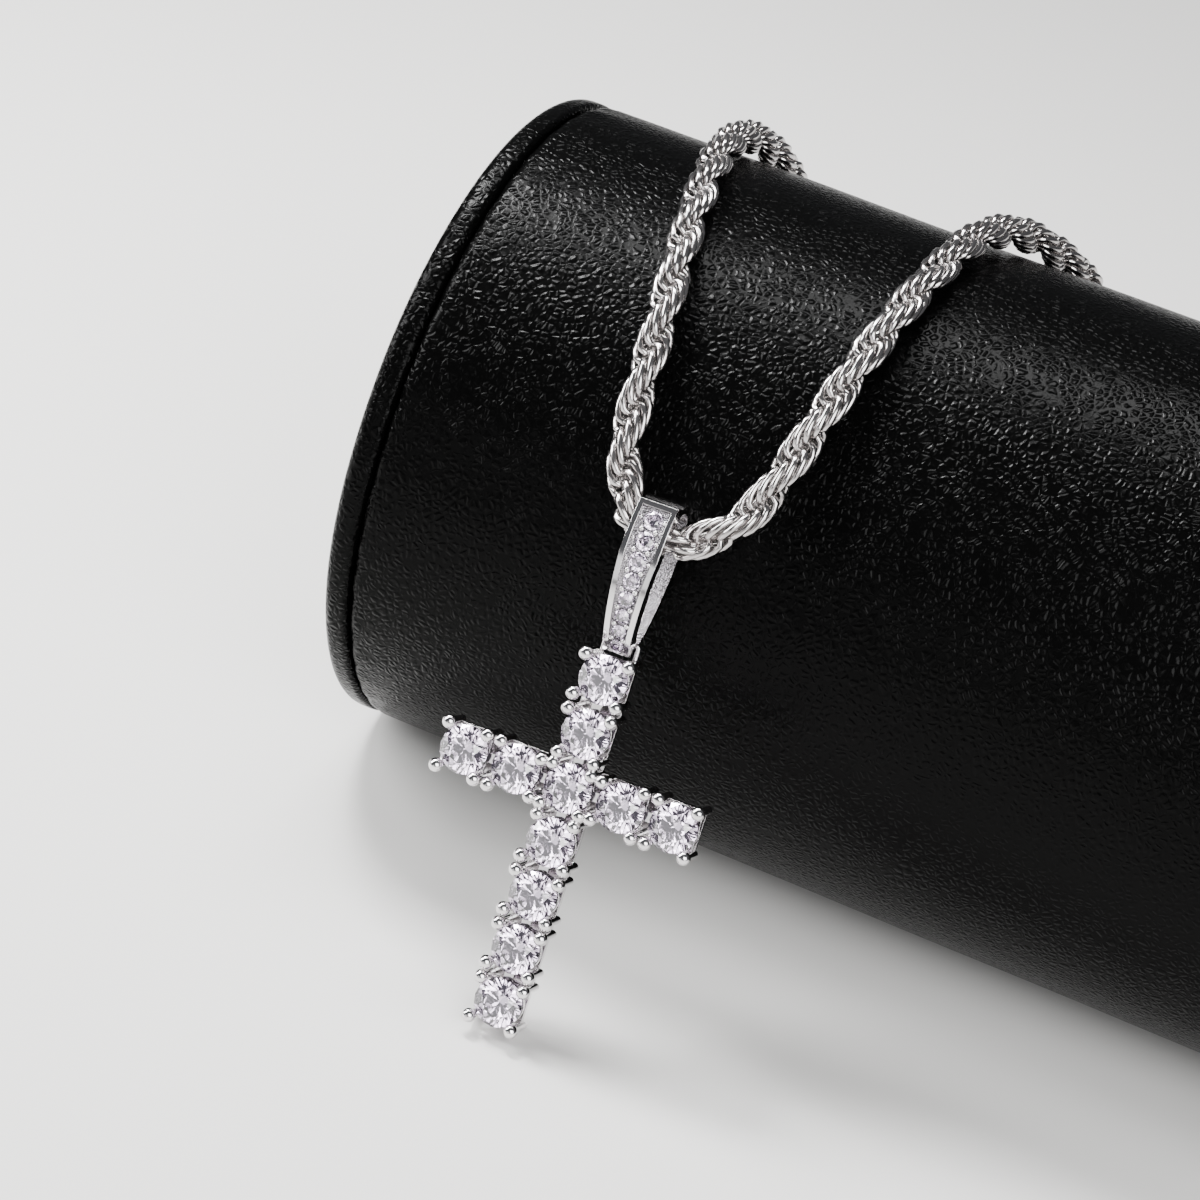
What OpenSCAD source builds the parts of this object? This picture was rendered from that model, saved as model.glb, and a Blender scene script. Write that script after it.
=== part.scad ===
// Cross pendant with round stones, its stone-set bail, a rope chain and the display roll they lie on.
// Millimetres, +Z up. The roll lies along X with its underside on the floor, and the cross leans
// against its front, which faces -Y. The origin is on the underside, below the cross's middle stone.

/* [Cross] */
// Diameter of each round stone of the cross
stone_d = 4; // [3.4:0.1:4.8]
// Clear space between neighbouring stones
stone_gap = 0.5; // [0.4:0.05:0.8]
// Stones above the middle one
stones_up = 2; // [1:1:3]
// Stones below the middle one
stones_down = 4; // [3:1:6]
// Stones on each arm
stones_side = 2; // [1:1:3]
// Height of a stone's crown above its girdle
stone_crown = 0.65; // [0.5:0.05:0.9]
// Depth of a stone's pavilion below its girdle
stone_pavilion = 1.7; // [1.3:0.05:1.75]

/* [Prongs] */
// Radius of a prong's wire
prong_r = 0.34; // [0.26:0.02:0.4]
// Radius of the bead on top of a prong
bead_r = 0.58; // [0.48:0.02:0.64]
// Height of a bead's centre above the girdles
bead_up = 0.55; // [0.5:0.05:0.8]
// Distance between the two prongs that share a gap between stones
prong_pair = 1.2; // [1.1:0.05:1.5]
// Distance from a bar's middle line to the prongs beside the middle stone
corner_side = 1.55; // [1.4:0.05:1.7]
// Radius of the four wires round the middle stone
corner_r = 0.28; // [0.22:0.02:0.32]

/* [Gallery] */
// Depth of the setting's back below the girdles
setting_depth = 2.6; // [2.4:0.05:3.2]
// Thickness of the back plate
back_t = 0.5; // [0.4:0.05:0.7]
// Half the width of the back plate
back_side = 1.75; // [1.6:0.05:2]
// Radius of the round window behind each stone
window_r = 1.3; // [1:0.05:1.45]
// Depth of the gallery's top below the girdles
gallery_down = 0.65; // [0.6:0.05:0.9]
// Thickness of the gallery
gallery_t = 0.35; // [0.25:0.05:0.5]

/* [Bail] */
// Radius of the bail's bowed legs, seen from the side
bow_r = 12; // [11.2:0.1:13]
// Depth of the bail from front to back
bail_depth = 6.6; // [6.4:0.1:7]
// Distance of the bail's middle behind the girdles
bail_back = 1.9; // [1.7:0.1:2.3]
// Width of the bail at the top
bail_w = 3.2; // [3:0.1:3.8]
// Width of the bail at the bottom
bail_low_w = 2.1; // [1.9:0.05:2.3]
// Thickness of the stone-set front leg
front_t = 1.3; // [1.2:0.05:1.5]
// Thickness of the plain back leg
leg_t = 0.6; // [0.5:0.05:0.7]
// How far the band lies behind the front leg's face
band_step = 0.5; // [0.4:0.05:0.6]
// Radius of the band's top bend
bail_top_r = 2.6; // [2.5:0.05:2.8]
// Radius of the band's bottom bend
bail_low_r = 1.1; // [1:0.05:1.2]
// Space between the cross and the bail above it
bail_rise = 0.35; // [0.3:0.05:0.7]
// Width of the rim round the small stones
rim_w = 0.42; // [0.35:0.01:0.5]
// Height of the rim above the floor that the small stones sit in
rim_h = 0.35; // [0.25:0.05:0.45]
// Clear space between the small stones
pave_gap = 0.18; // [0.14:0.02:0.24]
// Radius of the grains between the small stones
grain_r = 0.24; // [0.2:0.01:0.26]
// Radius of the wire staple that the bail hangs on
staple_r = 0.18; // [0.16:0.01:0.24]

/* [Chain] */
// Diameter of the rope chain
chain_d = 3; // [2.4:0.1:3.2]
// Radius of the chain's end caps
cap_r = 1.95; // [1.85:0.05:2.2]
// Length of an end cap
cap_len = 4; // [3.5:0.5:5]
// Radius of the wire of an end loop
loop_wire_r = 0.35; // [0.3:0.01:0.4]
// Radius of an end loop, to the middle of its wire
loop_r = 1.15; // [1.1:0.05:1.4]
// Radius of the hole in the clasp's claw
claw_hole_r = 1.75; // [1.6:0.05:2.2]
// Thickness of the clasp's claw and eye
claw_t = 1.1; // [0.9:0.05:1.15]
// Distance from the clasp's eye to the middle of its claw
clasp_len = 6.4; // [6:0.1:8]

/* [Display roll] */
// Radius of the roll
roll_r = 28.5; // [27:0.5:31]
// Length of the roll with both ends
roll_len = 100; // [90:1:130]
// Distance from the middle of the cross to the roll's left end
roll_left = 28.2; // [26:0.2:32]
// Width of the flat that the roll lies on
flat_w = 12; // [8:1:16]
// Thickness of the padded disc at each end
disc_t = 2.4; // [2:0.1:3.5]
// Radius of the rounding of the discs' rims
disc_round = 1.1; // [0.8:0.1:1.15]
// Radius of the rounding of the body's ends
body_round = 1.6; // [1:0.1:2.5]

/* [Pose] */
// Angle that the cross leans back against the roll
lean = 21.8; // [18:0.2:25]
// Angle that the cross is turned in its own plane
turn = 1.9; // [0:0.1:4]

/* [Hidden] */
// Small clear space between pieces that touch on the real thing
fit_gap = 0.05;
// Clear space between a stone's edge and its prongs, and the same round the middle stone
prong_gap = 0.12;
corner_gap = 0.06;
// Sides of round wire and grains in the exact solids
$fn = 48;

// Stones of the cross: rows of [node, column, row]
STONES = concat(
    [["stone_middle", 0, 0]],
    [for (k = [1:stones_up]) [str("stone_up_", k), 0, k]],
    [for (k = [1:stones_down]) [str("stone_down_", k), 0, -k]],
    [for (k = [1:stones_side]) [str("stone_left_", k), -k, 0]],
    [for (k = [1:stones_side]) [str("stone_right_", k), k, 0]]
);
// Small stones of the bail: radii from the top down, as shares of half its width
PAVE = [0.49, 0.48, 0.465, 0.43, 0.415, 0.395, 0.375, 0.325];
PAVE_NODES = [for (i = [0:len(PAVE) - 1]) str("bail_stone_", i + 1)];

// Stones and prongs
stone_r = stone_d / 2;
pitch = stone_d + stone_gap;
girdle_t = 0.06;
table_share = 0.56;
star_share = 0.81;
deep_share = 0.24;
prong_ring = stone_r + prong_r + prong_gap;
prong_along = (pitch - prong_pair) / 2;
prong_side = sqrt(pow(prong_ring, 2) - pow(prong_along, 2));
corner_along = sqrt(pow(prong_ring, 2) - pow(corner_side, 2));
middle_side = (stone_r + corner_r + corner_gap) / sqrt(2);
plate_over = 0.1;
bar_end = prong_along + plate_over;
gallery_in = 0.05;
gallery_ring = 0.5;
gallery_r = stone_r - gallery_in;
gallery_hole_r = gallery_r - gallery_ring;
gallery_bar_w = 0.4;
cross_top = stones_up * pitch + bar_end;
cross_foot = stones_down * pitch + prong_along;

// Bail, seen from the side: two bowed legs between a top and a bottom bend
bow_off = bow_r - bail_depth / 2;
front_c = -bail_back - bow_off;
back_c = -bail_back + bow_off;
band_front_r = bow_r - band_step;
hole_front_r = bow_r - front_t;
hole_back_r = bow_r - leg_t;
top_t = 0.75;
low_t = 0.6;
hole_top_r = bail_top_r - top_t;
hole_low_r = bail_low_r - low_t;
// Centre of a bend of radius r that runs smoothly into a front leg of radius ra and a back leg of rb
function bend_depth(ra, rb, r) =
    (pow(ra - r, 2) - pow(rb - r, 2) - pow(front_c, 2) + pow(back_c, 2)) / (2 * (back_c - front_c));
function bend_rise(ra, rb, r) = sqrt(pow(ra - r, 2) - pow(bend_depth(ra, rb, r) - front_c, 2));
bow_mid = cross_top + bail_rise + bend_rise(band_front_r, bow_r, bail_low_r) + bail_low_r;
bail_apex = bow_mid + bend_rise(band_front_r, bow_r, bail_top_r) + bail_top_r;
plate_short = 0.25;
plate_low_short = 0.1;
plate_top = bail_apex - plate_short;
plate_low = cross_top + bail_rise + plate_low_short;
taper_top = bow_mid + 1;
hole_top_z = bend_depth(hole_front_r, hole_back_r, hole_top_r);
hole_low_z = bend_depth(hole_front_r, hole_back_r, hole_low_r);
hole_top_y = bow_mid + bend_rise(hole_front_r, hole_back_r, hole_top_r);
hole_low_y = bow_mid - bend_rise(hole_front_r, hole_back_r, hole_low_r);
function bail_half(y) =
    let (s = min(1, max(0, (taper_top - y) / (taper_top - cross_top - bail_rise))))
    bail_w / 2 + s * (bail_low_w - bail_w) / 2;

// Small stones, set along the bowed front from the top down
pave_r = [for (s = PAVE) s * bail_w / 2];
pave_pocket_r = bow_r - rim_h;
seat_gap = 0.04;
pave_girdle_r = pave_pocket_r + girdle_t + seat_gap;
pave_crown = 0.33;
pave_depth = 0.8;
pave_margin = 0.12;
pave_hole_share = 0.45;
pave_culet = 0.1;
seat_under = 0.5;
pave_first = plate_top - rim_w - pave_margin - pave_r[0];
pave_first_a = asin((pave_first - bow_mid) / bow_r);
function pave_run(i) = i == 0 ? 0 : pave_run(i - 1) + pave_r[i - 1] + pave_r[i] + pave_gap;
function to_angle(run) = run / pave_girdle_r * 180 / PI;
function pave_a(i) = pave_first_a - to_angle(pave_run(i));
// Grains: their clear space to a stone, the height of their centres above the pocket's floor,
// and the smaller ones beside the first stones
grain_gap = 0.03;
grain_up = 0.08;
edge_grain_r = 0.18;
edge_grains = 3;

// Staple on top of the cross, through the bail's bottom
staple_bend = 0.3;
staple_lap = 0.05;
staple_leg_r = staple_r + 0.02;
staple_y = hole_low_y - hole_low_r + staple_r + fit_gap;
staple_side_gap = 0.06;
staple_half = bail_half(staple_y + staple_r) + staple_leg_r + staple_side_gap;
staple_sunk = 0.25;
staple_foot = cross_top - staple_sunk;

// Chain where it lies and where the bail holds it
chain_r = chain_d / 2;
lie_gap = 0.15;
lie_r = roll_r + chain_r + lie_gap;
lie_z = chain_r + fit_gap;
chain_hole_y = hole_top_y + hole_top_r - chain_r - lie_gap;
chain_hole_z = hole_top_z;

// Place of the cross: its foot stands on the floor and the bail's back rests against the roll
axis_z = sqrt(pow(roll_r, 2) - pow(flat_w / 2, 2));
foot_low = -cross_foot * cos(turn) - prong_side * sin(turn) - prong_r;
foot_gap = 0.02;
cross_z = setting_depth * sin(lean) - foot_low * cos(lean) + foot_gap;
rest_z = cross_z + back_c * sin(lean) + bow_mid * cos(turn) * cos(lean);
rest_y = -sqrt(pow(roll_r + bow_r + fit_gap, 2) - pow(rest_z - axis_z, 2));
cross_y = rest_y + back_c * cos(lean) - bow_mid * cos(turn) * sin(lean);

// Place in the room of a point of the cross, which has X across, Y along it and Z out of its front
function in_room(p) =
    let (
        across = p.x * cos(turn) - p.y * sin(turn),
        along = p.x * sin(turn) + p.y * cos(turn)
    )
    [across, cross_y + along * sin(lean) - p.z * cos(lean), cross_z + along * cos(lean) + p.z * sin(lean)];

bail_in_room = in_room([0, chain_hole_y, chain_hole_z]);
bail_turn = atan2(bail_in_room.z - axis_z, -bail_in_room.y);

// Route of the chain, from the left cap over the roll, through the bail and back to the right cap.
// On the floor behind the roll: rows of [x, distance behind the strands' drop]
FLOOR_LEFT = [
    [-10.5, 86], [-15.5, 83.4], [-22, 78.8], [-27.7, 73], [-32.2, 66.4], [-35.4, 59], [-37.2, 51],
    [-37.4, 42.8], [-36.1, 34.5], [-33.2, 27], [-29, 20.2], [-24, 14.2]
];
FLOOR_RIGHT = [
    [33, 14.2], [38, 20.2], [42.2, 27], [45.1, 34.5], [46.4, 42.8], [46.2, 51], [44.4, 59],
    [41.2, 66.4], [36.7, 73], [31, 78.8], [24.5, 83.4], [19.5, 86]
];
// Down the back of the roll: rows of [x, distance behind the drop, share of the height]
DROP_LEFT = [
    [-19.4, 9.2, 0.01], [-16.2, 4.6, 0.1], [-14.5, 1.6, 0.28], [-13.6, 0.5, 0.52], [-13.1, 0.4, 0.78]
];
DROP_RIGHT = [
    [22.1, 0.4, 0.78], [22.6, 0.5, 0.52], [23.5, 1.6, 0.28], [25.2, 4.6, 0.1], [28.4, 9.2, 0.01]
];
// Over the roll: rows of [x, share of the way round from the bail to the drop, lift off the roll]
ROLL_LEFT = [
    [-12.2, 0.95, 0.4], [-10.9, 0.86, 0.3], [-10.7, 0.78, 0.2],
    [-11.1, 0.7, 0.1], [-11.9, 0.63, 0], [-12.4, 0.57, 0], [-12.4, 0.51, 0], [-11.9, 0.45, 0],
    [-11.1, 0.39, 0], [-10.1, 0.33, 0], [-9.1, 0.275, 0], [-8.1, 0.22, 0], [-7.3, 0.17, 0],
    [-6.8, 0.125, 0], [-6.4, 0.09, 0], [-5.9, 0.06, 0.3], [-5.1, 0.036, 0.7], [-4, 0.017, 1.1]
];
ROLL_RIGHT = [
    [4.2, 0.018, 0.8], [5.5, 0.04, 0.4], [6.4, 0.073, 0.1], [7.2, 0.115, 0],
    [7.9, 0.165, 0], [8.6, 0.22, 0], [9.25, 0.275, 0], [9.8, 0.33, 0], [10.3, 0.385, 0],
    [10.7, 0.44, 0], [11.4, 0.5, 0], [12.5, 0.56, 0], [14, 0.61, 0], [15.5, 0.655, 0],
    [17, 0.7, 0.1], [18.6, 0.78, 0.2], [20.1, 0.86, 0.3], [21.4, 0.95, 0.4]
];
// Through the bail: rows of [x, height above the highest place], both in the cross's own frame
BAIL_ROUTE = [[-2.6, 0.35], [-1.6, -0.05], [-0.5, -0.35], [0.6, -0.5], [1.7, -0.5], [2.8, -0.35]];

function floor_point(row) = [row.x, lie_r + row.y, lie_z];
function drop_point(row) = [row.x, lie_r + row.y, lie_z + row.z * (axis_z - lie_z)];
function roll_point(row) =
    let (a = bail_turn + row.y * (180 - bail_turn), r = lie_r + row.z)
    [row.x, -r * cos(a), axis_z + r * sin(a)];

cap_behind = 0.6;
cap_y = lie_r + FLOOR_LEFT[0].y + cap_behind;
clasp_x = 4.5;
cap_z = cap_r + fit_gap;
cap_wall = 0.9;
cap_room = 0.1;
solder = 0.2;
loop_off = loop_r + loop_wire_r - solder;
claw_rim = 0.95;
claw_r = claw_hole_r + claw_rim;
eye_r = 1.5;
eye_side_share = 0.6;
claw_side_share = 0.9;
eye_hole_r = 0.9;
clasp_body_r = 1.35;
link_reach = sqrt(pow(loop_r - loop_wire_r, 2) - pow(claw_t / 2, 2)) - fit_gap;
// Places along the clasp: its eye, its claw, the two loops and the two caps
eye_x = clasp_x - clasp_len / 2;
claw_x = clasp_x + clasp_len / 2;
loop_left_x = eye_x - eye_hole_r - link_reach;
loop_right_x = claw_x + claw_hole_r + link_reach;
cap_left_x = loop_left_x - loop_off;
cap_right_x = loop_right_x + loop_off;
cap_bore_r = chain_r + cap_room;
cap_bore = cap_len - cap_wall;

function straight_end(side) =
    let (x = side < 0 ? cap_left_x : cap_right_x)
    [for (out = [cap_wall + cap_room, cap_len]) [x + side * out, cap_y, cap_z]];

ROUTE = concat(
    straight_end(-1),
    [for (row = FLOOR_LEFT) floor_point(row)],
    [for (row = DROP_LEFT) drop_point([row.x, row.y, row.z])],
    [for (row = ROLL_LEFT) roll_point(row)],
    [for (row = BAIL_ROUTE) in_room([row.x, chain_hole_y + row.y, chain_hole_z])],
    [for (row = ROLL_RIGHT) roll_point(row)],
    [for (row = DROP_RIGHT) drop_point(row)],
    [for (row = FLOOR_RIGHT) floor_point(row)],
    [straight_end(1)[1], straight_end(1)[0]]
);

function unit(v) = v / norm(v);
function heading(path, i) = unit(path[min(i + 1, len(path) - 1)] - path[max(i - 1, 0)]);
function square_to(n, t) = unit(n - (n * t) * t);
function path_normals(path) = [
    for (i = 0, n = [0, 0, 1]; i < len(path); n = square_to(n, heading(path, i)), i = i + 1) n
];

// Tube with flat sides along a path
module swept_tube(path, r, sides) {
    normals = path_normals(path);
    last = len(path) - 1;
    points = [
        for (i = [0:last])
            let (t = heading(path, i), a = square_to(normals[i], t), b = cross(t, a))
            for (j = [0:sides - 1]) path[i] + r * (cos(360 * j / sides) * a + sin(360 * j / sides) * b)
    ];
    walls = [
        for (i = [0:last - 1], j = [0:sides - 1])
            let (p = i * sides + j, q = i * sides + (j + 1) % sides)
            for (face = [[p, p + sides, q + sides], [p, q + sides, q]]) face
    ];
    ends = [
        [for (j = [0:sides - 1]) j],
        [for (j = [0:sides - 1]) last * sides + sides - 1 - j]
    ];
    polyhedron(points, concat(walls, ends));
}

// Round brilliant cut: 8 star, 8 kite and 16 upper facets over 16 lower and 8 main ones.
// Its girdle's upper edge lies at Z = 0 and the table faces +Z.
module brilliant(r, crown, pavilion) {
    table_r = r * table_share;
    star_r = r * star_share;
    star_z = crown * (r - star_r * cos(22.5)) / (r - table_r);
    low_r = r * deep_share;
    low_z = -girdle_t - pavilion * (1 - low_r * cos(22.5) / r);
    function ring(n, off, rad, z) =
        [for (i = [0:n - 1]) let (a = off + 360 * i / n) [rad * cos(a), rad * sin(a), z]];
    points = concat(
        ring(8, 0, table_r, crown), ring(8, 22.5, star_r, star_z), ring(16, 0, r, 0),
        ring(16, 0, r, -girdle_t), ring(8, 22.5, low_r, low_z), [[0, 0, -girdle_t - pavilion]]
    );
    function star(i) = 8 + (i + 8) % 8;
    function upper(j) = 16 + j % 16;
    function lower(j) = 32 + j % 16;
    function deep(i) = 48 + (i + 8) % 8;
    faces = concat(
        [[for (i = [7:-1:0]) i]],
        [for (i = [0:7]) [(i + 1) % 8, star(i), i]],
        [for (i = [0:7]) [star(i), upper(2 * i), star(i - 1), i]],
        [for (i = [0:7]) [upper(2 * i + 1), upper(2 * i), star(i)]],
        [for (i = [0:7]) [upper(2 * i + 2), upper(2 * i + 1), star(i)]],
        [for (j = [0:15]) [upper(j + 1), lower(j + 1), lower(j), upper(j)]],
        [for (i = [0:7]) [lower(2 * i), lower(2 * i + 1), deep(i)]],
        [for (i = [0:7]) [lower(2 * i + 1), lower(2 * i + 2), deep(i)]],
        [for (i = [0:7]) [56, deep(i - 1), lower(2 * i), deep(i)]]
    );
    polyhedron(points, faces);
}

// Moves a shape from the cross's own frame to its place in the room
module placed() {
    translate([0, cross_y, cross_z]) rotate([90 - lean, 0, 0]) rotate([0, 0, turn]) children();
}

module cross_stone(column, row) {
    color("lavender") placed()
        translate([column * pitch, row * pitch, 0]) brilliant(stone_r, stone_crown, stone_pavilion);
}

// One prong: a wire from the back plate with a bead on top
module prong(x, y, r) {
    translate([x, y, -setting_depth]) cylinder(h = setting_depth + bead_up, r = r);
    translate([x, y, bead_up]) sphere(bead_r);
}

// The four prongs of a stone, turned so that its bar runs along Y.
// A stone beside the middle one has its inner pair closer in, towards the side given by inner.
module prongs(inner) {
    for (side = [-1, 1], end = [-1, 1])
        if (end == inner) prong(side * corner_side, end * corner_along, prong_r);
        else prong(side * prong_side, end * prong_along, prong_r);
}

// Outline of one bar of the cross from its stones' rows, along Y
module bar_outline(low, high, half) {
    translate([-half, low * pitch - bar_end]) square([2 * half, (high - low) * pitch + 2 * bar_end]);
}

module windows(r) {
    for (s = STONES) translate([s[1] * pitch, s[2] * pitch]) circle(r);
}

module back_plate() {
    translate([0, 0, -setting_depth]) linear_extrude(back_t) difference() {
        union() {
            bar_outline(-stones_down, stones_up, back_side);
            rotate(90) bar_outline(-stones_side, stones_side, back_side);
        }
        windows(window_r);
    }
}

// Rings under the stones' edges, with a cross bar from prong to prong
module gallery() {
    translate([0, 0, -gallery_down - gallery_t]) linear_extrude(gallery_t) difference() {
        union() {
            windows(gallery_r);
            for (s = STONES, end = [-1, 1])
                translate([s[1] * pitch, s[2] * pitch]) rotate(s[2] == 0 ? 90 : 0)
                    translate([-prong_side, end * prong_along - gallery_bar_w / 2])
                        square([2 * prong_side, gallery_bar_w]);
            for (k = [-stones_down:stones_up - 1])
                translate([-gallery_bar_w, (k + 0.5) * pitch - prong_pair / 2])
                    square([2 * gallery_bar_w, prong_pair]);
            for (k = [-stones_side:stones_side - 1])
                translate([(k + 0.5) * pitch - prong_pair / 2, -gallery_bar_w])
                    square([prong_pair, 2 * gallery_bar_w]);
        }
        windows(gallery_hole_r);
    }
}

// Square wire loop on the top end of the cross
module staple() {
    leg = staple_y - staple_bend - staple_foot + staple_lap;
    translate([0, 0, hole_low_z]) {
        for (side = [-1, 1]) {
            translate([side * staple_half, staple_foot, 0])
                rotate([-90, 0, 0]) cylinder(h = leg, r = staple_leg_r);
            translate([side * (staple_half - staple_bend), staple_y - staple_bend, 0])
                rotate(side > 0 ? 0 : 90) rotate_extrude(angle = 90)
                    translate([staple_bend, 0]) circle(staple_r);
        }
        translate([staple_bend - staple_half, staple_y, 0]) rotate([0, 90, 0])
            cylinder(h = 2 * (staple_half - staple_bend), r = staple_r);
    }
}

module cross_setting() {
    color("silver") placed() {
        back_plate();
        gallery();
        for (s = STONES) translate([s[1] * pitch, s[2] * pitch, 0]) {
            if (s[1] == 0 && s[2] == 0)
                for (x = [-1, 1], y = [-1, 1]) prong(x * middle_side, y * middle_side, corner_r);
            else if (s[1] == 0) prongs(abs(s[2]) == 1 ? -s[2] : 0);
            else rotate(-90) prongs(abs(s[1]) == 1 ? -s[1] : 0);
        }
        staple();
    }
}

// Area between two bowed legs with a round top and bottom, seen from the side: X is out, Y along
module teardrop(front_r, back_r, top_r, low_r) {
    top_z = bend_depth(front_r, back_r, top_r);
    top_y = bend_rise(front_r, back_r, top_r);
    low_z = bend_depth(front_r, back_r, low_r);
    low_y = -bend_rise(front_r, back_r, low_r);
    // Where each leg runs into its bends
    front_top = [front_c, 0] + unit([top_z - front_c, top_y]) * front_r;
    back_top = [back_c, 0] + unit([top_z - back_c, top_y]) * back_r;
    front_low = [front_c, 0] + unit([low_z - front_c, low_y]) * front_r;
    back_low = [back_c, 0] + unit([low_z - back_c, low_y]) * back_r;
    translate([0, bow_mid]) {
        intersection() {
            translate([front_c, 0]) circle(front_r);
            translate([back_c, 0]) circle(back_r);
            polygon([
                front_low, front_low + [bail_depth, 0], front_top + [bail_depth, 0], front_top,
                back_top, back_top - [bail_depth, 0], back_low - [bail_depth, 0], back_low
            ]);
        }
        translate([top_z, top_y]) circle(top_r);
        translate([low_z, low_y]) circle(low_r);
    }
}

// A side view of the bail, pushed out to both sides
module from_side(width) {
    rotate([0, -90, 0]) linear_extrude(width, center = true) children();
}

// The bail's tapered outline from the front, with its edges moved in by inset
module bail_front(low, high, inset) {
    shoulder = min(taper_top, high);
    translate([0, 0, -bow_r]) linear_extrude(2 * bow_r) polygon([
        [inset - bail_half(low), low], [bail_half(low) - inset, low],
        [bail_half(shoulder) - inset, shoulder], [bail_half(high) - inset, high],
        [inset - bail_half(high), high], [inset - bail_half(shoulder), shoulder]
    ]);
}

// Moves a shape to the bowed front at an angle from its middle, with +Z facing out
module on_bow(angle) {
    translate([0, bow_mid, front_c]) rotate([-angle, 0, 0]) children();
}

module grains() {
    for (i = [0:len(PAVE) - 2], side = [-1, 1]) {
        off = pave_r[i] + pave_gap / 2;
        x = sqrt(pow(pave_r[i] + grain_r + grain_gap, 2) - pow(off, 2));
        on_bow(pave_a(i) - to_angle(off)) translate([side * x, 0, pave_pocket_r + grain_up]) sphere(grain_r);
    }
    for (i = [0:edge_grains - 1], side = [-1, 1])
        on_bow(pave_a(i))
            translate([side * (pave_r[i] + edge_grain_r + grain_gap), 0, pave_pocket_r + grain_up])
                sphere(edge_grain_r);
}

module seats() {
    for (i = [0:len(PAVE) - 1]) on_bow(pave_a(i)) {
        translate([0, 0, hole_front_r - seat_under])
            cylinder(h = front_t + seat_under, r = pave_r[i] * pave_hole_share);
        translate([0, 0, pave_pocket_r - pave_r[i] * pave_depth])
            cylinder(h = front_t, r = pave_r[i] + seat_gap);
    }
}

module bail() {
    color("silver") placed() {
        difference() {
            intersection() {
                from_side(2 * bail_w) difference() {
                    union() {
                        teardrop(band_front_r, bow_r, bail_top_r, bail_low_r);
                        intersection() {
                            translate([front_c, bow_mid]) difference() {
                                circle(bow_r);
                                circle(hole_front_r);
                            }
                            translate([-bail_back, plate_low]) square([bail_depth, plate_top - plate_low]);
                        }
                    }
                    teardrop(hole_front_r, hole_back_r, hole_top_r, hole_low_r);
                }
                bail_front(cross_top, bail_apex + 1, 0);
            }
            intersection() {
                bail_front(plate_low + rim_w, plate_top - rim_w, rim_w);
                from_side(2 * bail_w) translate([front_c, bow_mid]) difference() {
                    circle(bow_r + 1);
                    circle(pave_pocket_r);
                }
            }
            seats();
        }
        grains();
    }
}

module bail_stone(i) {
    r = pave_r[i];
    color("lavender") placed() on_bow(pave_a(i))
        translate([0, 0, pave_girdle_r]) brilliant(r, r * pave_crown, r * pave_depth - pave_culet);
}

module rope_chain() {
    color("gainsboro") swept_tube(ROUTE, chain_r, 8);
}

// End cap with its soldered loop: the cap opens towards -X
module end_cap() {
    rotate([0, -90, 0]) difference() {
        cylinder(h = cap_len, r = cap_r);
        translate([0, 0, cap_wall]) cylinder(h = cap_len, r = cap_bore_r);
    }
    translate([loop_off, 0, 0]) rotate([90, 0, 0]) rotate_extrude()
        translate([loop_r, 0]) circle(loop_wire_r);
}

module end_cap_left() {
    color("silver") translate([cap_left_x, cap_y, cap_z]) end_cap();
}

module end_cap_right() {
    color("silver") translate([cap_right_x, cap_y, cap_z]) mirror([1, 0, 0]) end_cap();
}

// Closed lobster clasp: an eye, a body and a round claw, lying flat
module clasp() {
    eye_side = eye_r * eye_side_share;
    claw_side = claw_r * claw_side_share;
    body_x = (eye_x + eye_hole_r + claw_x - claw_hole_r) / 2;
    color("silver") translate([0, cap_y, cap_z]) {
        translate([0, 0, -claw_t / 2]) linear_extrude(claw_t) difference() {
            union() {
                translate([eye_x, 0]) circle(eye_r);
                translate([claw_x, 0]) circle(claw_r);
                polygon([[eye_x, -eye_side], [claw_x, -claw_side], [claw_x, claw_side], [eye_x, eye_side]]);
            }
            translate([eye_x, 0]) circle(eye_hole_r);
            translate([claw_x, 0]) circle(claw_hole_r);
        }
        translate([body_x, 0, -claw_t]) cylinder(h = 2 * claw_t, r = clasp_body_r);
    }
}

// Solid of revolution along X from the roll's axis, cut flat where it lies
module lying_round(from, to, round_left, round_right) {
    length = to - from;
    intersection() {
        translate([from, 0, axis_z]) rotate([0, 90, 0]) rotate_extrude($fn = 96) {
            translate([0, round_left]) square([roll_r, length - round_left - round_right]);
            square([roll_r - round_left, round_left + 1]);
            translate([0, length - round_right - 1]) square([roll_r - round_right, round_right + 1]);
            translate([roll_r - round_left, round_left]) circle(round_left);
            translate([roll_r - round_right, length - round_right]) circle(round_right);
        }
        translate([from - 1, -2 * roll_r, 0]) cube([length + 2, 4 * roll_r, 3 * roll_r]);
    }
}

body_left = disc_t + fit_gap - roll_left;
body_right = roll_len - roll_left - disc_t - fit_gap;

module roll_body() {
    color("dimgray") lying_round(body_left, body_right, body_round, body_round);
}

module roll_end_left() {
    color("dimgray") lying_round(-roll_left, disc_t - roll_left, disc_round, disc_round);
}

module roll_end_right() {
    color("dimgray") lying_round(body_right + fit_gap, roll_len - roll_left, disc_round, disc_round);
}

cross_setting();
for (s = STONES) cross_stone(s[1], s[2]);
bail();
for (i = [0:len(PAVE) - 1]) bail_stone(i);
rope_chain();
end_cap_left();
end_cap_right();
clasp();
roll_body();
roll_end_left();
roll_end_right();
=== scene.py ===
"""Looks of the cross pendant: its metals, its stones, the links of its rope chain, and the
leatherette roll that it is displayed on."""
import math

import bpy
import numpy as np
from mathutils import Matrix, Vector, noise


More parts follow.
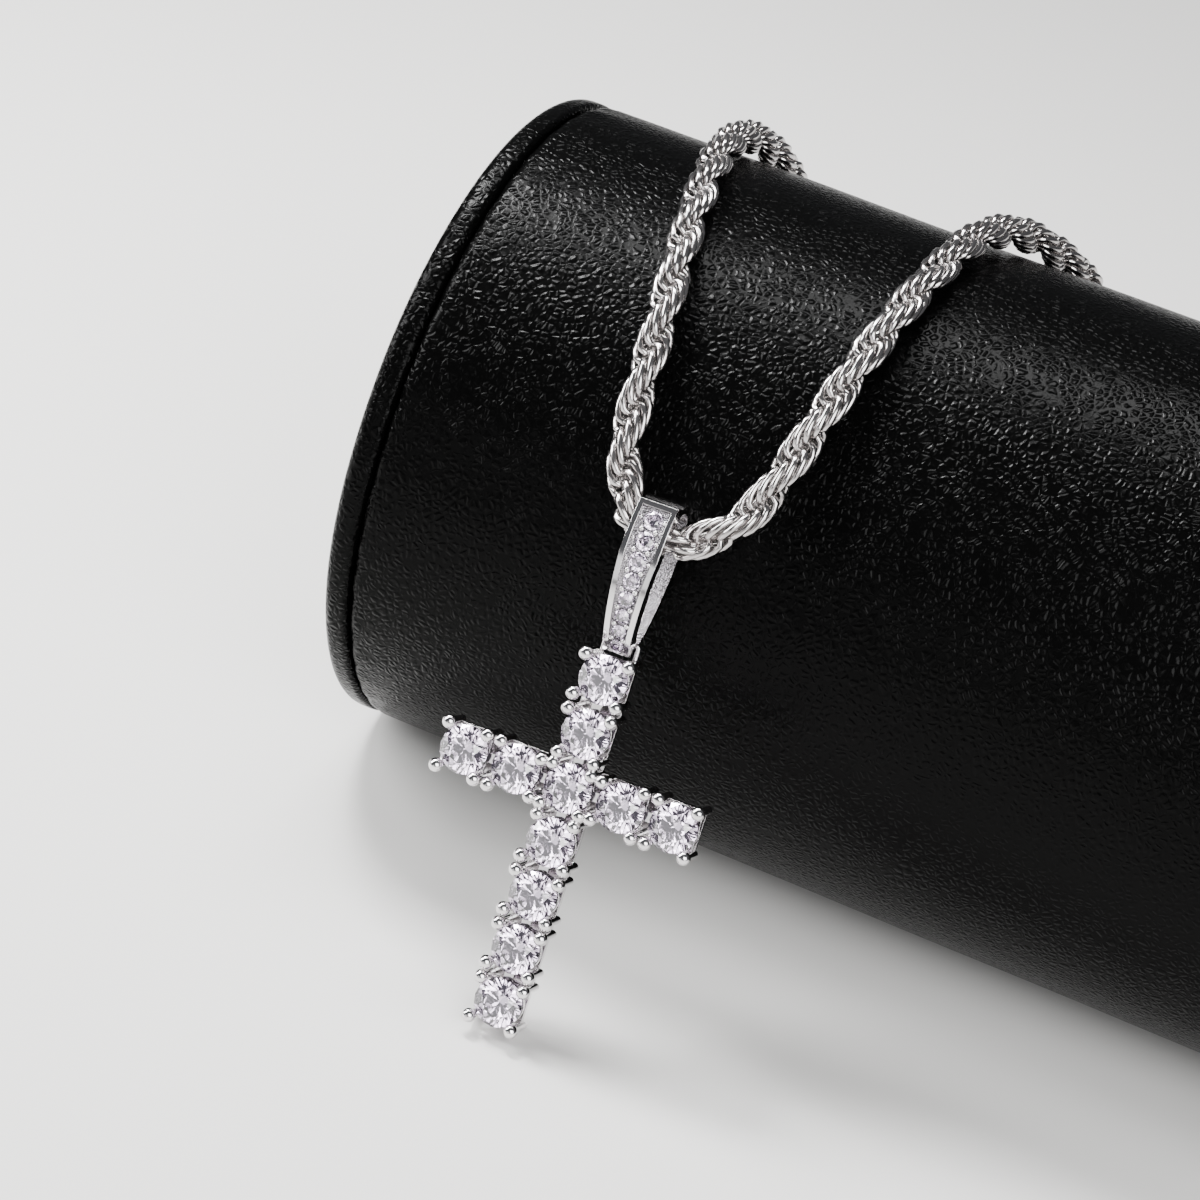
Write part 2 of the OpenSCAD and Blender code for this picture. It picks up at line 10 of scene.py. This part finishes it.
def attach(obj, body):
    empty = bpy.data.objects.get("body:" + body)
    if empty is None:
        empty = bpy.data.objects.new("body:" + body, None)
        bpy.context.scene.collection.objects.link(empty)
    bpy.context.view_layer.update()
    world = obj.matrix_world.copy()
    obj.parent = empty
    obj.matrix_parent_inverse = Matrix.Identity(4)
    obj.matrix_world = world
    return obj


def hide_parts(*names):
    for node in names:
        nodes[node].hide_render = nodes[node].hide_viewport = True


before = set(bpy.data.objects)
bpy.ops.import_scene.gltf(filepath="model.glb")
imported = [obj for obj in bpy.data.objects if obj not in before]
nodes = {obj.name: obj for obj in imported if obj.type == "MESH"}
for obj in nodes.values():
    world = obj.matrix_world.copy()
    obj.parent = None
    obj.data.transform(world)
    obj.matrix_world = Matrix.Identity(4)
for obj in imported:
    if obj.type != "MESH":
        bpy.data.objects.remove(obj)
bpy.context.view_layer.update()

MM = 0.001
# Points of a mesh that are nearer to each other than this, in millimetres, are one point
WELD = 0.001


# Small helpers

def linear(hex_colour):
    """sRGB hex to the linear colour that a shader socket takes."""
    parts = [int(hex_colour[i:i + 2], 16) / 255 for i in (1, 3, 5)]
    return [c / 12.92 if c <= 0.04045 else ((c + 0.055) / 1.055) ** 2.4 for c in parts] + [1.0]


def add_node(tree, kind, settings=None, links=None):
    """Adds one node. settings holds options by name and input values by name or number, and links
    holds the sockets that feed its inputs."""
    made = tree.nodes.new(kind)
    for name, value in (settings or {}).items():
        if isinstance(name, str) and name not in made.inputs:
            setattr(made, name, value)
        else:
            made.inputs[name].default_value = value
    for name, socket in (links or {}).items():
        tree.links.new(socket, made.inputs[name])
    return made


def new_material(name, settings):
    """A material with only its surface shader, and that shader's own values."""
    made = bpy.data.materials.new(name)
    made.use_nodes = True
    tree = made.node_tree
    tree.nodes.clear()
    surface = add_node(tree, "ShaderNodeBsdfPrincipled", settings)
    add_node(tree, "ShaderNodeOutputMaterial", links={"Surface": surface.outputs["BSDF"]})
    return made, surface


def pick_none():
    bpy.ops.object.select_all(action="DESELECT")


def pick(piece):
    """Selects one piece alone and makes it the active one."""
    pick_none()
    piece.select_set(True)
    bpy.context.view_layer.objects.active = piece


def select_edges(piece, wanted):
    """Selects, in edit mode, the edges whose two ends pass the test."""
    bpy.ops.mesh.select_all(action="DESELECT")
    bpy.ops.object.mode_set(mode="OBJECT")
    for edge in piece.data.edges:
        edge.select = wanted(*(piece.data.vertices[k].co for k in edge.vertices))
    bpy.ops.object.mode_set(mode="EDIT")


def settle(piece, name, material):
    """Names a finished piece and gives it its finish."""
    piece.name = name
    piece.data.name = name
    piece.data.materials.clear()
    piece.data.materials.append(material)
    return piece


# Materials

def white_metal(name, edge):
    """Rhodium-plated cast brass: a bright cool white with sharp reflections. Its edges are softened
    by the polishing, so that each of them catches a thin line of light. edge is their radius, in
    millimetres."""
    made, surface = new_material(name, {
        "Base Color": linear("#dddadb"), "Metallic": 1.0, "Roughness": 0.12,
    })
    edges = add_node(made.node_tree, "ShaderNodeBevel", {"samples": 6, "Radius": edge * MM})
    made.node_tree.links.new(edges.outputs["Normal"], surface.inputs["Normal"])
    return made


# Size and depth of the dents
DENT_MM = 0.16
DENT_DEEP_MM = 0.08


def beaded_metal_painted_shade():
    """The same casting between the small stones and inside the back leg: dented, so that it glitters
    in points between dark ones, and darker in colour as painted shade of these recesses."""
    # Painted shade: this base colour is darker than the polished metal's so that the recesses look
    # shaded
    made, surface = new_material("beaded_metal_painted_shade", {
        "Base Color": linear("#8a878b"), "Metallic": 1.0, "Roughness": 0.25,
    })
    tree = made.node_tree
    place = add_node(tree, "ShaderNodeTexCoord")
    dents = add_node(tree, "ShaderNodeTexVoronoi", {"Scale": 1 / (DENT_MM * MM)},
                     {"Vector": place.outputs["Object"]})
    relief = add_node(tree, "ShaderNodeBump", {"Strength": 1.0, "Distance": DENT_DEEP_MM * MM},
                      {"Height": dents.outputs["Distance"]})
    tree.links.new(relief.outputs["Normal"], surface.inputs["Normal"])
    return made


def chain_white_metal():
    """Drawn wire links with a white plating, tumbled bright: a little softer than the cast."""
    return new_material("chain_white_metal", {
        "Base Color": linear("#bfbbba"), "Metallic": 1.0, "Roughness": 0.18,
    })[0]


def cubic_zirconia():
    """Cut cubic zirconia: clear and strongly refracting, with a faint cool tint."""
    return new_material("cubic_zirconia", {
        "Base Color": linear("#f4e5fb"), "Roughness": 0.0, "IOR": 2.17, "Transmission Weight": 1.0,
    })[0]


# Grain: the width of its pebbles and pores, and its depth
PEBBLE_MM = 0.62
PORE_MM = 0.22
GRAIN_DEEP_MM = 0.09
# How far the rows of pebbles wander to the side, and over what length
WANDER_MM = 1.6
WANDER_LONG_MM = 3.5
# Distance from a crease, as a share of a pebble, at which the pebble has risen to its full height
PEBBLE_RISE = 0.42
# Height of the pores, as a share of that of the pebbles
PORE_SHARE = 0.12


def pebbled_leatherette():
    """Black PU leatherette with an embossed pebble grain: a dull black with small soft glints."""
    made, surface = new_material("pebbled_leatherette", {
        "Base Color": linear("#030303"), "Roughness": 0.24, "IOR": 1.48, "Specular IOR Level": 0.045,
    })
    tree = made.node_tree
    place = add_node(tree, "ShaderNodeTexCoord")
    wander = add_node(tree, "ShaderNodeTexNoise", {
        "Scale": 1 / (WANDER_LONG_MM * MM), "Detail": 3.0,
    }, {"Vector": place.outputs["Object"]})
    shift = add_node(tree, "ShaderNodeVectorMath", {
        "operation": "MULTIPLY_ADD", 1: (WANDER_MM * MM,) * 3,
    }, {0: wander.outputs["Color"], 2: place.outputs["Object"]})
    creases = add_node(tree, "ShaderNodeTexVoronoi", {
        "feature": "DISTANCE_TO_EDGE", "Scale": 1 / (PEBBLE_MM * MM),
    }, {"Vector": shift.outputs["Vector"]})
    pebbles = add_node(tree, "ShaderNodeMapRange", {
        "interpolation_type": "SMOOTHERSTEP", "From Max": PEBBLE_RISE,
    }, {"Value": creases.outputs["Distance"]})
    pores = add_node(tree, "ShaderNodeTexNoise", {
        "Scale": 1 / (PORE_MM * MM), "Detail": 2.0,
    }, {"Vector": place.outputs["Object"]})
    height = add_node(tree, "ShaderNodeMath", {"operation": "MULTIPLY_ADD", 1: PORE_SHARE},
                      {0: pores.outputs["Fac"], 2: pebbles.outputs["Result"]})
    relief = add_node(tree, "ShaderNodeBump", {
        "Strength": 0.65, "Distance": GRAIN_DEEP_MM * MM,
    }, {"Height": height.outputs["Value"]})
    tree.links.new(relief.outputs["Normal"], surface.inputs["Normal"])
    return made


def table_paint():
    """Matt pale paint: soft shadows and no reflections of its own."""
    return new_material("table_paint", {
        "Base Color": linear("#d9d8d6"), "Roughness": 0.7,
    })[0]


CAST = white_metal("polished_white_metal", edge=0.07)
FITTING = white_metal("tumbled_white_metal", edge=0.2)
FIELD = beaded_metal_painted_shade()
CHAIN = chain_white_metal()
STONE = cubic_zirconia()
LEATHER = pebbled_leatherette()


def finish_of(name):
    """The finish of a node of the frame, by what it is."""
    if "stone" in name:
        return STONE
    if name in ("cross_setting", "bail"):
        return CAST
    if name.startswith("roll"):
        return LEATHER
    return FITTING


for name, node in nodes.items():
    for place in node.material_slots:
        place.material = finish_of(name)
    if not node.material_slots:
        node.data.materials.append(finish_of(name))


# Route of the chain, in millimetres as the solids have it

# The roll's axis, and the chain's middle line on the roll and on the table
AXIS_Z = 27.8613
LIE_R = 30.15
LIE_Z = 1.62
# Middle of the cross, and how far it leans back and is turned in its own plane
CROSS_Y = -39.4443
CROSS_Z = 19.5921
LEAN = math.radians(21.8)
TURN = math.radians(1.9)
# Where the chain passes through the bail, in the cross's own frame, and that place's height on the
# roll as an angle
CHAIN_HOLE_Y = 21.5294
CHAIN_HOLE_Z = -2.27011
BAIL_TURN = math.radians(20.3193)
# Where the chain's two ends sit in their end caps
CAP_Y = 116.75
CAP_Z = 2.0
CAP_LEFT_X = (-2.431, -5.431)
CAP_RIGHT_X = (15.281, 12.281)

# Rows on the table: across, and how far behind the roll's back
FLOOR_LEFT = [
    (-10.5, 86), (-15.5, 83.4), (-22, 78.8), (-27.7, 73), (-32.2, 66.4), (-35.4, 59), (-37.2, 51),
    (-37.4, 42.8), (-36.1, 34.5), (-33.2, 27), (-29, 20.2), (-24, 14.2),
]
FLOOR_RIGHT = [
    (33, 14.2), (38, 20.2), (42.2, 27), (45.1, 34.5), (46.4, 42.8), (46.2, 51), (44.4, 59),
    (41.2, 66.4), (36.7, 73), (31, 78.8), (24.5, 83.4), (19.5, 86),
]
# Rows on the way down behind the roll: across, how far behind, and the share of the height
DROP_LEFT = [
    (-19.4, 9.2, 0.01), (-16.2, 4.6, 0.1), (-14.5, 1.6, 0.28), (-13.6, 0.5, 0.52), (-13.1, 0.4, 0.78),
]
DROP_RIGHT = [
    (22.1, 0.4, 0.78), (22.6, 0.5, 0.52), (23.5, 1.6, 0.28), (25.2, 4.6, 0.1), (28.4, 9.2, 0.01),
]
# Rows on the roll: across, the share of the way from the bail to the back, and the lift
ROLL_LEFT = [
    (-12.2, 0.95, 0.4), (-10.9, 0.86, 0.3), (-10.7, 0.78, 0.2), (-11.1, 0.7, 0.1), (-11.9, 0.63, 0),
    (-12.4, 0.57, 0), (-12.4, 0.51, 0), (-11.9, 0.45, 0), (-11.1, 0.39, 0), (-10.1, 0.33, 0),
    (-9.1, 0.275, 0), (-8.1, 0.22, 0), (-7.3, 0.17, 0), (-6.8, 0.125, 0), (-6.4, 0.09, 0),
    (-5.9, 0.06, 0.3), (-5.1, 0.036, 0.7), (-4, 0.017, 1.1),
]
ROLL_RIGHT = [
    (4.2, 0.018, 0.8), (5.5, 0.04, 0.4), (6.4, 0.073, 0.1), (7.2, 0.115, 0), (7.9, 0.165, 0),
    (8.6, 0.22, 0), (9.25, 0.275, 0), (9.8, 0.33, 0), (10.3, 0.385, 0), (10.7, 0.44, 0),
    (11.4, 0.5, 0), (12.5, 0.56, 0), (14, 0.61, 0), (15.5, 0.655, 0), (17, 0.7, 0.1),
    (18.6, 0.78, 0.2), (20.1, 0.86, 0.3), (21.4, 0.95, 0.4),
]
# Rows inside the bail: across, and how far above the middle of the chain's place
BAIL_ROUTE = [(-2.6, 0.35), (-1.6, -0.05), (-0.5, -0.35), (0.6, -0.5), (1.7, -0.5), (2.8, -0.35)]


def on_floor(x, behind):
    """A place of the route where the chain lies on the table."""
    return (x, LIE_R + behind, LIE_Z)


def on_drop(x, behind, share):
    """A place of the route where the chain hangs down behind the roll."""
    return (x, LIE_R + behind, LIE_Z + share * (AXIS_Z - LIE_Z))


def on_roll(x, share, lift):
    """A place of the route where the chain lies over the roll."""
    angle = BAIL_TURN + share * (math.pi - BAIL_TURN)
    reach = LIE_R + lift
    return (x, -reach * math.cos(angle), AXIS_Z + reach * math.sin(angle))


def in_bail(x, above):
    """A place of the route inside the bail, which leans and turns with the cross."""
    height = CHAIN_HOLE_Y + above
    across = x * math.cos(TURN) - height * math.sin(TURN)
    along = x * math.sin(TURN) + height * math.cos(TURN)
    return (across, CROSS_Y + along * math.sin(LEAN) - CHAIN_HOLE_Z * math.cos(LEAN),
            CROSS_Z + along * math.cos(LEAN) + CHAIN_HOLE_Z * math.sin(LEAN))


ROUTE = (
    [(x, CAP_Y, CAP_Z) for x in CAP_LEFT_X]
    + [on_floor(*row) for row in FLOOR_LEFT] + [on_drop(*row) for row in DROP_LEFT]
    + [on_roll(*row) for row in ROLL_LEFT] + [in_bail(*row) for row in BAIL_ROUTE]
    + [on_roll(*row) for row in ROLL_RIGHT] + [on_drop(*row) for row in DROP_RIGHT]
    + [on_floor(*row) for row in FLOOR_RIGHT] + [(x, CAP_Y, CAP_Z) for x in CAP_RIGHT_X]
)


# Finish of the bail in its recesses: dented, and darker as painted shade

def in_cross(spot):
    """A place in the room in the cross's own frame: across, up and forward, in millimetres."""
    behind, high = spot.y / MM - CROSS_Y, spot.z / MM - CROSS_Z
    along = behind * math.sin(LEAN) + high * math.cos(LEAN)
    forward = high * math.sin(LEAN) - behind * math.cos(LEAN)
    across = spot.x / MM
    return (across * math.cos(TURN) + along * math.sin(TURN),
            along * math.cos(TURN) - across * math.sin(TURN), forward)


# Field of the bail between its rims: its heights, its half widths at its two ends, the middle of
# the bow that it follows, and its smallest and largest distance from there
FIELD_LOW, FIELD_TOP = 11.62, 23.10
FIELD_HALF_LOW, FIELD_HALF_TOP, FIELD_TAPER_TOP = 0.65, 1.2, 19.34
BOW_MID, BOW_FORWARD = 18.3401, -10.6
BACK_R, FIELD_R = 10.72, 11.67
# Inside of its back leg: how far back it starts, the middle and the radius of its bow, and how far
# from that bow a face may lie
LEG_FROM, LEG_FORWARD, LEG_R, LEG_ROOM = -2.5, 6.8, 11.4, 0.1


def in_shaded_recess(spot):
    """Whether a place on the bail lies in a recess that gets the painted shade: in the field that its
    small stones are set in, or inside its back leg."""
    across, height, forward = in_cross(spot)
    share = min(1, max(0, (FIELD_TAPER_TOP - height) / (FIELD_TAPER_TOP - FIELD_LOW)))
    half = FIELD_HALF_TOP + share * (FIELD_HALF_LOW - FIELD_HALF_TOP)
    in_front = BACK_R < math.hypot(height - BOW_MID, forward - BOW_FORWARD) < FIELD_R
    behind = abs(math.hypot(height - BOW_MID, forward - LEG_FORWARD) - LEG_R) < LEG_ROOM
    return (in_front and FIELD_LOW < height < FIELD_TOP and abs(across) < half
            or behind and forward < LEG_FROM)


bail = nodes["bail"]
# Faces in the recesses get the dented finish, whose darker colour is painted shade
bail.data.materials.append(FIELD)
for face in bail.data.polygons:
    if in_shaded_recess(face.center):
        face.material_index = len(bail.data.materials) - 1


# Rope chain: two strands of oval links, each link turned a little round the chain's middle line

# One link, along the middle of its wire
WIRE_R = 0.29
LINK_HALF_LONG = 1.5
LINK_HALF_WIDE = 0.77
# Distance of a link from the middle line, and its lean from the line's direction
LINK_OUT = 0.46
LINK_LEAN = math.radians(-8)
# From one link to the next of its strand, and the turn of the first link
LINK_STEP = 0.77
LINK_TURN = math.radians(25.7)
START_TURN = math.radians(116.5)
# The rope is twisted a little tighter where the bail holds it
TIGHT_FROM = 214
TIGHT_TO = 227
TIGHT_TURN = math.radians(73.5)
STEPS_BETWEEN = 8


def smooth_route(points, steps):
    """The route with a smooth curve through its points."""
    p = np.array([points[0]] + list(points) + [points[-1]], float)
    rows = []
    for i in range(1, len(p) - 2):
        for k in range(steps):
            t = k / steps
            rows.append(0.5 * (
                2 * p[i] + (p[i + 1] - p[i - 1]) * t
                + (2 * p[i - 1] - 5 * p[i] + 4 * p[i + 1] - p[i + 2]) * t ** 2
                + (3 * p[i] - p[i - 1] - 3 * p[i + 1] + p[i + 2]) * t ** 3))
    rows.append(p[-2])
    return np.array(rows)


def carried_frames(rows):
    """Directions along the route and a side direction carried along it without twist."""
    heading = np.gradient(rows, axis=0)
    heading /= np.linalg.norm(heading, axis=1)[:, None]
    side = np.zeros_like(rows)
    carried = np.array([0.0, 0.0, 1.0])
    for i, along in enumerate(heading):
        carried = carried - carried.dot(along) * along
        carried /= np.linalg.norm(carried)
        side[i] = carried
    return heading, side


def part_of(rows, runs, run):
    """The value that rows has at one length along the route."""
    return np.array([np.interp(run, runs, rows[:, k]) for k in range(3)])


def unit(direction):
    """The same direction, one long."""
    return direction / np.linalg.norm(direction)


def one_link():
    """One oval link of round wire, in millimetres: long along Y, wide along X, with twelve sides to
    the oval and six to the wire."""
    pick_none()
    bpy.ops.curve.primitive_bezier_circle_add(radius=1)
    wire = bpy.context.object
    bpy.ops.object.mode_set(mode="EDIT")
    bpy.ops.curve.select_all(action="SELECT")
    bpy.ops.transform.resize(value=(LINK_HALF_WIDE, LINK_HALF_LONG, 1))
    bpy.ops.object.mode_set(mode="OBJECT")
    wire.data.resolution_u = 3
    wire.data.bevel_depth = WIRE_R
    wire.data.bevel_resolution = 1
    pick(wire)
    bpy.ops.object.convert(target="MESH")
    link = bpy.context.object
    bpy.ops.object.mode_set(mode="EDIT")
    bpy.ops.mesh.select_all(action="SELECT")
    bpy.ops.mesh.remove_doubles(threshold=WELD)
    bpy.ops.mesh.normals_make_consistent(inside=False)
    bpy.ops.object.mode_set(mode="OBJECT")
    bpy.ops.object.shade_smooth()
    return link


def rope_chain():
    """The whole rope, made of copies of one link: its two strands lie on opposite sides of the
    middle line, and each fills the gaps of the other."""
    rows = smooth_route(ROUTE, STEPS_BETWEEN)
    runs = np.concatenate([[0], np.cumsum(np.linalg.norm(np.diff(rows, axis=0), axis=1))])
    heading, side = carried_frames(rows)
    pattern = one_link()
    count = int((runs[-1] - 2 * LINK_HALF_LONG) / LINK_STEP)
    links = []
    for strand in (0, 1):
        for i in range(count):
            run = LINK_HALF_LONG + (i + strand / 2) * LINK_STEP
            if run > runs[-1] - LINK_HALF_LONG:
                continue
            along = unit(part_of(heading, runs, run))
            up = part_of(side, runs, run)
            up = unit(up - up.dot(along) * along)
            tight = min(1, max(0, (run - TIGHT_FROM) / (TIGHT_TO - TIGHT_FROM)))
            angle = START_TURN + (i + strand / 2) * LINK_TURN + tight * TIGHT_TURN + strand * math.pi
            out = math.cos(angle) * up + math.sin(angle) * np.cross(along, up)
            across = np.cross(along, out)
            length = math.cos(LINK_LEAN) * along + math.sin(LINK_LEAN) * across
            centre = part_of(rows, runs, run) + LINK_OUT * out
            laid = Matrix.Identity(4)
            for column, values in enumerate((out, length, np.cross(out, length), centre)):
                for k in range(3):
                    laid[k][column] = values[k] * MM
            link = pattern.copy()
            link.data = pattern.data.copy()
            link.data.transform(laid)
            bpy.context.collection.objects.link(link)
            links.append(link)
    bpy.data.objects.remove(pattern)
    pick_none()
    for link in links:
        link.select_set(True)
    bpy.context.view_layer.objects.active = links[0]
    bpy.ops.object.join()
    return bpy.context.object


chain = settle(rope_chain(), "rope_links", CHAIN)
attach(chain, "root")
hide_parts("rope_chain")


# Clasp, with the rounded edges that tumbling gives it

CLASP_ROUND = 0.14
# Faces that turn less than this lie in one plane
FLAT_TURN = math.radians(1)
# Edges that turn more are rounded, and those that turn less are shaded smooth
CLASP_SHARP = math.radians(35)
CLASP_SMOOTH = math.radians(30)


def tumbled_clasp():
    """The clasp's solid again, merged, with its sharp edges rounded off."""
    piece = bpy.data.objects.new("lobster_clasp", nodes["clasp"].data.copy())
    bpy.context.collection.objects.link(piece)
    pick(piece)
    bpy.ops.object.mode_set(mode="EDIT")
    bpy.ops.mesh.select_all(action="SELECT")
    bpy.ops.mesh.remove_doubles(threshold=WELD * MM)
    bpy.ops.mesh.dissolve_limited(angle_limit=FLAT_TURN)
    bpy.ops.mesh.normals_make_consistent(inside=False)
    bpy.ops.object.mode_set(mode="OBJECT")
    rounding = piece.modifiers.new("rounding", "BEVEL")
    rounding.width = CLASP_ROUND * MM
    rounding.segments = 3
    rounding.limit_method = "ANGLE"
    rounding.angle_limit = CLASP_SHARP
    bpy.ops.object.modifier_apply(modifier="rounding")
    bpy.ops.object.shade_smooth_by_angle(angle=CLASP_SMOOTH)
    return settle(piece, "lobster_clasp", FITTING)


clasp = tumbled_clasp()
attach(clasp, "root")
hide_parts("clasp")


# Display roll: a padded body between two padded discs, covered in leatherette

ROLL_R = 28.5
ROLL_LEFT_X = -28.2
ROLL_RIGHT_X = 71.8
DISC_T = 2.4
# Gap between the body and a disc
FIT = 0.05
# Rounding of a disc's outer edge, of its edge at the seam, and of the body's edges
RIM_ROUND = 1.1
SEAM_ROUND = 0.6
BODY_ROUND = 0.9
# How finely the padding is meshed: round it, along the body, and over a rounding
ROUND_SIDES = 192
BODY_RINGS = 56
ROUND_STEPS = 6
PADDING_SMOOTH = math.radians(40)
# How near to an end, in metres, a point counts as lying on it
ON_END = 1e-6
# Depth and size of the padding's soft hollows
HOLLOW = 0.26
HOLLOW_WIDE = 15
# Depth, length and number of the small puckers that run in from the body's seams, and how much
# and over what length their spacing wanders
PUCKER = 0.14
PUCKER_RUN = 5
PUCKERS = 46
PUCKER_WANDER = 2.5
PUCKER_WANDER_LONG = 9
# Share of the radius inside which a disc's face stays flat
FACE_KEPT = 0.8
# Height up to which nothing sinks, where the roll rests, and the height over which that fades out
FLAT_KEPT = 1.0
FLAT_FADE = 6.0


def sink_padding(piece, left, right, puckered):
    """Moves the padding in a little, never out, so that light lies unevenly on it. left and right
    are its ends."""
    axis = Vector((0, 0, AXIS_Z * MM))
    for vertex in piece.data.vertices:
        spot = vertex.co
        spoke = Vector((0, spot.y, spot.z)) - axis
        if spoke.length < FACE_KEPT * ROLL_R * MM:
            continue
        kept = min(1, max(0, (spot.z / MM - FLAT_KEPT) / FLAT_FADE))
        depth = HOLLOW * (0.5 + 0.5 * noise.noise(spot / (HOLLOW_WIDE * MM)))
        if puckered:
            round_at = math.atan2(spoke.z, spoke.y)
            to_seam = min(spot.x / MM - left, right - spot.x / MM)
            reach = max(0, 1 - to_seam / PUCKER_RUN) ** 2
            wander = PUCKER_WANDER * noise.noise(spot / (PUCKER_WANDER_LONG * MM))
            depth += PUCKER * reach * (0.5 + 0.5 * math.cos(PUCKERS * round_at + wander))
        vertex.co = spot - spoke.normalized() * depth * kept * MM


def padded_round(name, left, right, rims, rings, node):
    """A padded round of the roll, lying along X and flat where it rests, with slight hollows. rims
    are the radii of its left and right edge, and its rings stand closer towards the seams."""
    pick_none()
    bpy.ops.mesh.primitive_cylinder_add(
        vertices=ROUND_SIDES, radius=ROLL_R * MM, depth=(right - left) * MM,
        location=((left + right) / 2 * MM, 0, AXIS_Z * MM), rotation=(0, math.pi / 2, 0))
    piece = bpy.context.object
    bpy.ops.object.transform_apply(location=True, rotation=True, scale=True)
    bpy.ops.object.mode_set(mode="EDIT")
    bpy.ops.mesh.select_all(action="SELECT")
    bpy.ops.mesh.bisect(plane_co=(0, 0, 0), plane_no=(0, 0, 1), use_fill=True, clear_inner=True)
    bpy.ops.mesh.select_mode(type="EDGE")
    for end, rim in zip((left, right), rims):
        select_edges(piece, lambda a, b: max(abs(a.x - end * MM), abs(b.x - end * MM)) < ON_END)
        bpy.ops.mesh.bevel(offset=rim * MM, segments=ROUND_STEPS, profile=0.5)
    for k in range(1, rings):
        bpy.ops.mesh.select_all(action="SELECT")
        share = (1 - math.cos(math.pi * k / rings)) / 2
        at = left + rims[0] + (right - left - sum(rims)) * share
        bpy.ops.mesh.bisect(plane_co=(at * MM, 0, 0), plane_no=(1, 0, 0))
    bpy.ops.object.mode_set(mode="OBJECT")
    sink_padding(piece, left, right, rings > 1)
    bpy.ops.object.shade_smooth_by_angle(angle=PADDING_SMOOTH)
    settle(piece, name, LEATHER)
    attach(piece, "root")
    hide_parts(node)


padded_round("roll_padding", ROLL_LEFT_X + DISC_T + FIT, ROLL_RIGHT_X - DISC_T - FIT,
             (BODY_ROUND, BODY_ROUND), BODY_RINGS, "roll_body")
padded_round("roll_disc_left", ROLL_LEFT_X, ROLL_LEFT_X + DISC_T, (RIM_ROUND, SEAM_ROUND), 1,
             "roll_end_left")
padded_round("roll_disc_right", ROLL_RIGHT_X - DISC_T, ROLL_RIGHT_X, (SEAM_ROUND, RIM_ROUND), 1,
             "roll_end_right")


# Table, lights and camera

pick_none()
bpy.ops.mesh.primitive_plane_add(size=4, location=(0, 0, 0))
table = settle(bpy.context.object, "table", table_paint())


def soft_light(name, place, aim, width, height, power):
    """A soft rectangular light that is aimed at a spot: places and sizes in metres, power in
    watts."""
    lamp = bpy.data.lights.new(name, "AREA")
    lamp.shape = "RECTANGLE"
    lamp.size = width
    lamp.size_y = height
    lamp.energy = power
    made = bpy.data.objects.new(name, lamp)
    bpy.context.scene.collection.objects.link(made)
    made.location = place
    made.rotation_euler = (Vector(aim) - Vector(place)).to_track_quat("-Z", "Y").to_euler()


soft_light("front_light", (0.30, -0.55, 0.52), (0, -0.03, 0.03), 0.40, 0.40, 3)
soft_light("low_card", (-0.18, -0.60, 0.14), (0, -0.03, 0.03), 0.36, 0.20, 0.35)
soft_light("right_light", (0.42, -0.42, 0.32), (0, -0.03, 0.03), 0.45, 0.45, 4.5)
soft_light("left_light", (-0.42, -0.12, 0.30), (0, -0.02, 0.03), 0.12, 0.40, 4.5)
soft_light("near_light", (-0.14, 0.03, 0.25), (-0.01, -0.01, 0.05), 0.06, 0.06, 1.5)
soft_light("top_light", (-0.10, 0.16, 0.60), (0, 0, 0.04), 0.30, 0.16, 3)

# Even pale light of the room, which fills the shadows
world = bpy.data.worlds.new("soft_room")
bpy.context.scene.world = world
world.use_nodes = True
world.node_tree.nodes["Background"].inputs["Color"].default_value = linear("#c9cbd0")
world.node_tree.nodes["Background"].inputs["Strength"].default_value = 0.2

# Camera: moved to the right, raised, and rolled about its line of sight. Its distance and the
# place that it looks at are in millimetres.
AZIMUTH = math.radians(16.425)
ELEVATION = math.radians(28.611)
ROLLED = math.radians(13.721)
DISTANCE = 269.726
TARGET = Vector((-2.087, -36.0, 34.452))

back = Vector((math.sin(AZIMUTH) * math.cos(ELEVATION), -math.cos(AZIMUTH) * math.cos(ELEVATION),
               math.sin(ELEVATION)))
right = Vector((math.cos(AZIMUTH), math.sin(AZIMUTH), 0))
above = back.cross(right)
right_turned = math.cos(ROLLED) * right + math.sin(ROLLED) * above
above_turned = -math.sin(ROLLED) * right + math.cos(ROLLED) * above
lens = bpy.data.cameras.new("camera")
lens.lens = 105
lens.sensor_width = 36
lens.clip_start = 0.01
camera = bpy.data.objects.new("camera", lens)
bpy.context.scene.collection.objects.link(camera)
stand = (TARGET + back * DISTANCE) * MM
camera.matrix_world = Matrix((
    (right_turned.x, above_turned.x, back.x, stand.x),
    (right_turned.y, above_turned.y, back.y, stand.y),
    (right_turned.z, above_turned.z, back.z, stand.z),
    (0, 0, 0, 1)))
bpy.context.scene.camera = camera
